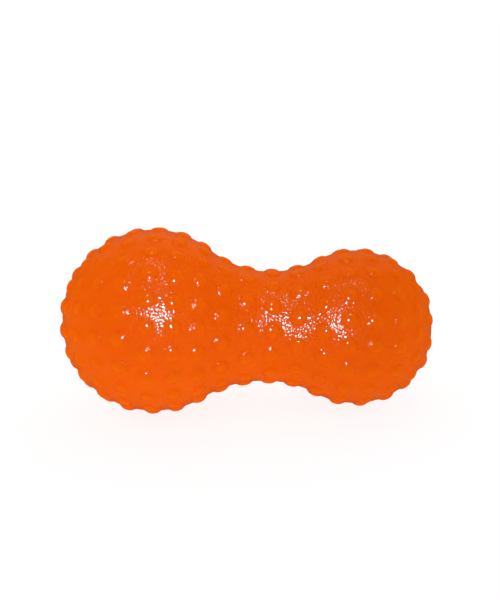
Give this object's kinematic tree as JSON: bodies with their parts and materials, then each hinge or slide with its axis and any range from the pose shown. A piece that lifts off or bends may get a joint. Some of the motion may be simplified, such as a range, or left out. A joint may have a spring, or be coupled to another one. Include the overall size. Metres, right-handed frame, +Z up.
{
  "type": "peanut massage ball",
  "caption": "Hollow soft peanut-shaped massage ball with a big and a small round lobe, a waist between them, low rounded nubs all over, and a pull-out air valve plug in the small end.",
  "frame": {"origin": "on the floor under the middle of the ball's box, with the ball lying on nubs of both lobes", "axes": "+X along the length from the big lobe to the small one, +Z up, -Y towards the viewer"},
  "size_m": [0.159, 0.0806, 0.0798],
  "materials": {
    "skin_pvc": "gloss",
    "valve_pvc": "satin",
    "plug_plastic": "satin"
  },
  "bodies": {
    "ball": {"skin": "skin_pvc", "valve_seat": "valve_pvc"},
    "plug": {"valve_plug": "plug_plastic"}
  },
  "joints": [
    {"name": "plug_pull", "type": "slide", "parent": "ball", "child": "plug", "axis": [0.9979, 0, -0.0642], "range_m": [0, 0.018]}
  ]
}
